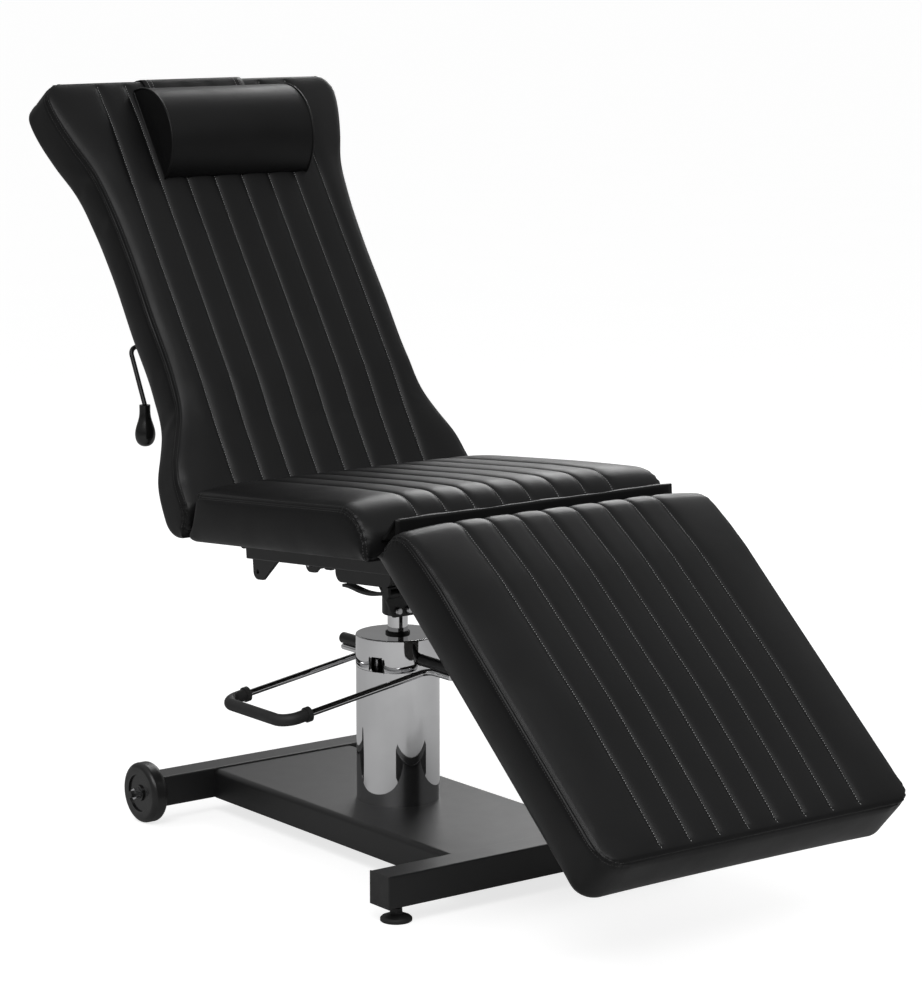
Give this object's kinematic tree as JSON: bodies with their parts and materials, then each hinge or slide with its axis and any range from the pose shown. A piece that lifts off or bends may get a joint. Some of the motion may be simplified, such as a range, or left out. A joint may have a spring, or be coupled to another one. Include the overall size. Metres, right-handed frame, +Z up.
{
  "type": "tattoo chair",
  "caption": "Black padded three-section tattoo chair on a foot-pumped chrome column with a wheeled steel base.",
  "frame": {"origin": "on the floor, under the middle of the chair's outline seen from above; the floor is z = 0", "axes": "+Z up, -Y towards the foot end of the leg rest, +Y towards the back, +X to the sitter's left"},
  "size_m": [0.606, 1.562, 1.2348],
  "materials": {
    "black_powder_coat": "satin",
    "bright_steel": "satin",
    "chrome": "polished",
    "black_leatherette": "satin",
    "plywood": "matte",
    "black_rubber": "matte",
    "black_tyre": "satin",
    "black_plastic": "matte",
    "gloss_black_plastic": "gloss"
  },
  "bodies": {
    "base": {"front_crossbar": "black_powder_coat", "rear_crossbar": "black_powder_coat", "front_end_caps": "black_plastic", "base_tray": "black_powder_coat", "wheel_axles": "black_powder_coat", "axle_nuts": "bright_steel", "pump_cover": "chrome", "pump_cap": "chrome", "pump_body": "black_powder_coat", "pump_bolts": "bright_steel", "piston_collar": "black_plastic"},
    "left_foot": {"left_foot_pad": "black_rubber", "left_foot_stem": "black_powder_coat"},
    "right_foot": {"right_foot_pad": "black_rubber", "right_foot_stem": "black_powder_coat"},
    "left_wheel": {"left_wheel_tyre": "black_tyre", "left_wheel_hub": "gloss_black_plastic"},
    "right_wheel": {"right_wheel_tyre": "black_tyre", "right_wheel_hub": "gloss_black_plastic"},
    "pedal": {"pedal_loop": "chrome", "pedal_grip": "black_rubber", "pedal_sleeves": "black_powder_coat", "pedal_rocker": "bright_steel"},
    "plunger": {"pump_plunger": "bright_steel"},
    "lift": {"piston_rod": "chrome"},
    "seat": {"swivel_socket": "black_powder_coat", "gusset_plate": "black_powder_coat", "gusset_bolts": "bright_steel", "seat_mount": "black_powder_coat", "lock_lever_bracket": "black_powder_coat", "seat_side_bars": "black_powder_coat", "seat_cross_tubes": "black_powder_coat", "hinge_lugs": "black_powder_coat", "leg_lugs": "black_powder_coat", "hinge_pins": "bright_steel", "ratchet_fixed_arms": "bright_steel", "seat_board": "plywood", "seat_cushion": "black_leatherette"},
    "lock": {"lock_lever": "black_powder_coat"},
    "back": {"back_side_tubes": "black_powder_coat", "back_cross_tubes": "black_powder_coat", "back_board": "plywood", "back_cushion": "black_leatherette", "headrest_strap": "black_leatherette", "spring_brackets": "black_powder_coat", "spring_head_pin": "bright_steel"},
    "bolster": {"headrest_bolster": "black_leatherette"},
    "release": {"release_rod": "black_powder_coat", "release_knob": "gloss_black_plastic"},
    "spring_cylinder": {"gas_cylinder": "black_powder_coat"},
    "spring_rod": {"gas_rod": "chrome", "gas_head": "bright_steel"},
    "valve": {"valve_pin": "bright_steel"},
    "leg_rest": {"leg_side_tubes": "black_powder_coat", "leg_cross_tubes": "black_powder_coat", "leg_board": "plywood", "leg_cushion": "black_leatherette", "leg_flap": "black_leatherette", "ratchet_moving_arms": "bright_steel"}
  },
  "joints": [
    {"name": "left_foot_height", "type": "slide", "parent": "base", "child": "left_foot", "axis": [0, 0, 1], "range_m": [-0.01, 0.005]},
    {"name": "right_foot_height", "type": "slide", "parent": "base", "child": "right_foot", "axis": [0, 0, 1], "range_m": [-0.01, 0.005]},
    {"name": "left_wheel_spin", "type": "hinge", "parent": "base", "child": "left_wheel", "pos_m": [-0.271, 0.473, 0.052], "axis": [1, 0, 0], "continuous": true},
    {"name": "right_wheel_spin", "type": "hinge", "parent": "base", "child": "right_wheel", "pos_m": [0.271, 0.473, 0.052], "axis": [1, 0, 0], "continuous": true},
    {"name": "pedal_press", "type": "hinge", "parent": "base", "child": "pedal", "pos_m": [-0.003, 0.11, 0.324], "axis": [0, -1, 0], "range_deg": [-6, 18], "stiffness_Nm_per_rad": 60, "springref_deg": -1.43},
    {"name": "plunger_stroke", "type": "slide", "parent": "base", "child": "plunger", "axis": [0, 0, 1], "range_m": [-0.013, 0.0045]},
    {"name": "seat_lift", "type": "slide", "parent": "base", "child": "lift", "axis": [0, 0, 1], "range_m": [-0.025, 0.13]},
    {"name": "seat_swivel", "type": "hinge", "parent": "lift", "child": "seat", "pos_m": [0, 0.11, 0.39], "axis": [0, 0, 1], "continuous": true},
    {"name": "swivel_lock", "type": "hinge", "parent": "seat", "child": "lock", "pos_m": [-0.0665, 0.03349, 0.44413], "axis": [1, 0, 0], "range_deg": [-8, 0], "stiffness_Nm_per_rad": 2, "springref_deg": 6.88},
    {"name": "back_recline", "type": "hinge", "parent": "seat", "child": "back", "pos_m": [0, 0.34101, 0.49555], "axis": [1, 0, 0], "range_deg": [-61, 0]},
    {"name": "bolster_slide", "type": "slide", "parent": "back", "child": "bolster", "axis": [0, 0.5534, 0.8329], "range_m": [-0.06, 0.02]},
    {"name": "release_pull", "type": "hinge", "parent": "back", "child": "release", "pos_m": [0, 0.60845, 0.8005], "axis": [1, 0, 0], "range_deg": [0, 10], "stiffness_Nm_per_rad": 3, "springref_deg": -6.88},
    {"name": "spring_swing", "type": "hinge", "parent": "seat", "child": "spring_cylinder", "pos_m": [0, 0.33631, 0.44075], "axis": [1, 0, 0], "range_deg": [-56.1, 0.1]},
    {"name": "spring_stroke", "type": "slide", "parent": "spring_cylinder", "child": "spring_rod", "axis": [0, 0.5761, 0.8174], "range_m": [-0.0475, 0.0005]},
    {"name": "valve_press", "type": "slide", "parent": "spring_rod", "child": "valve", "axis": [0, 0.5761, 0.8174], "range_m": [-0.0039, 0.0001]},
    {"name": "leg_tilt", "type": "hinge", "parent": "seat", "child": "leg_rest", "pos_m": [0, -0.25381, 0.54654], "axis": [1, 0, 0], "range_deg": [-45.7, 8]}
  ],
  "couplings": [
    {"joint": "plunger_stroke", "follows": "pedal_press", "m_per_rad": -0.04},
    {"joint": "spring_swing", "follows": "back_recline", "ratio": 0.919},
    {"joint": "spring_stroke", "follows": "back_recline", "m_per_rad": 0.04454},
    {"joint": "valve_press", "follows": "release_pull", "m_per_rad": -0.022}
  ]
}
